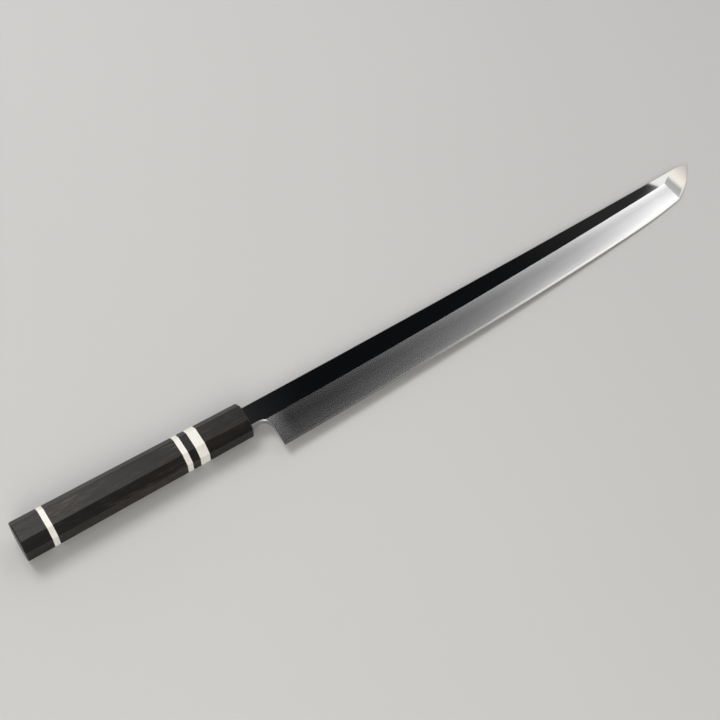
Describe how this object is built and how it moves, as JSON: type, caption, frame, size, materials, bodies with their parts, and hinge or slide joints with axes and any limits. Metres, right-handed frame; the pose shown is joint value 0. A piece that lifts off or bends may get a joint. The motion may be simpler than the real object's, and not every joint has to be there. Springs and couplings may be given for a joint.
{
  "type": "sakimaru yanagiba knife",
  "caption": "Long single-bevel slicing knife with a sword-style point, a laminated blade and an octagonal dark wood handle with pale rings.",
  "frame": {"origin": "centre of the flat butt end of the handle, on the handle's axis", "axes": "+X along the knife from the butt to the point, +Y towards the spine, +Z out of the bevelled front face"},
  "size_m": [0.5378, 0.0427, 0.023],
  "materials": {
    "soft_iron": "mirror-polished flat, hazy stone-finished bevel",
    "hard_steel": "fine satin with a honed edge",
    "ebony": "satin, oiled",
    "white_ring": "polished",
    "core_wood": "plain, unfinished",
    "bedding_resin": "cured resin"
  },
  "bodies": {
    "root": {"blade_iron_body": "soft_iron", "edge_steel": "hard_steel", "ferrule": "ebony", "thick_front_ring": "white_ring", "ring_spacer": "ebony", "thin_front_ring": "white_ring", "grip": "ebony", "rear_ring": "white_ring", "butt_cap": "ebony", "core_dowel": "core_wood", "tang_bedding": "bedding_resin"}
  },
  "joints": []
}
